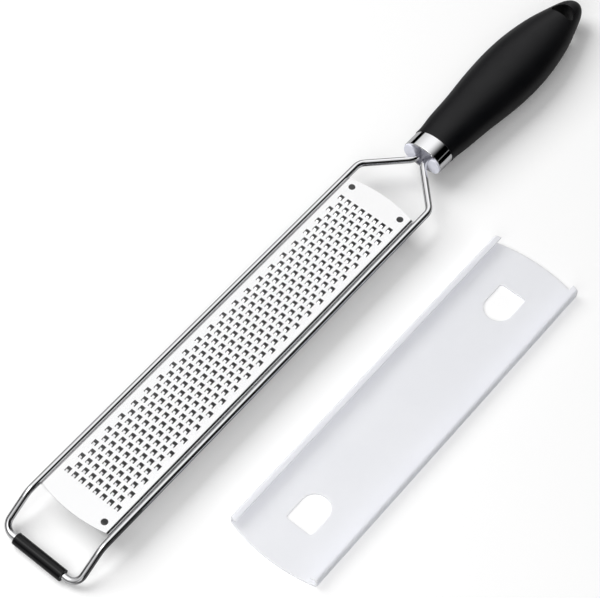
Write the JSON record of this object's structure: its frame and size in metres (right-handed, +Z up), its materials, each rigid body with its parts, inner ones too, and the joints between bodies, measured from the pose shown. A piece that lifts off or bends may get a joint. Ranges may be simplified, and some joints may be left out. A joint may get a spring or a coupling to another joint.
{
  "type": "rasp zester",
  "caption": "Hand-held rasp zester: a toothed steel plate on a bent-rod frame, soft grip with hang hole, rubber foot, and its loose channel-shaped blade cover alongside.",
  "frame": {"origin": "middle of the hang hole in the tail of the handle, at the height of the axes of the two wire rails", "axes": "+Y from the front foot to the tail of the handle, +Z up off the toothed face of the plate, +X to the right"},
  "size_m": [0.1171, 0.3856, 0.0215],
  "materials": {
    "polished_rod": "polished stainless rod",
    "satin_sheet": "satin stainless sheet, etched teeth",
    "black_rubber": "matte black",
    "polished_band": "mirror polish",
    "satin_plug": "satin silver grey",
    "hard_core": "black, hidden in the grip",
    "soft_grip": "matte black soft touch",
    "milky_cover": "milky translucent polypropylene"
  },
  "bodies": {
    "zester": {"wire_frame": "polished_rod", "grating_plate": "satin_sheet", "foot_sleeve": "black_rubber", "collar_band": "polished_band", "collar_plug": "satin_plug", "handle_core": "hard_core", "handle_grip": "soft_grip"},
    "cover": {"blade_cover": "milky_cover"}
  },
  "joints": [
    {"name": "cover_slide", "type": "slide", "parent": "zester", "child": "cover", "axis": [0, 1, 0], "range_m": [-0.06, 0.13]}
  ]
}
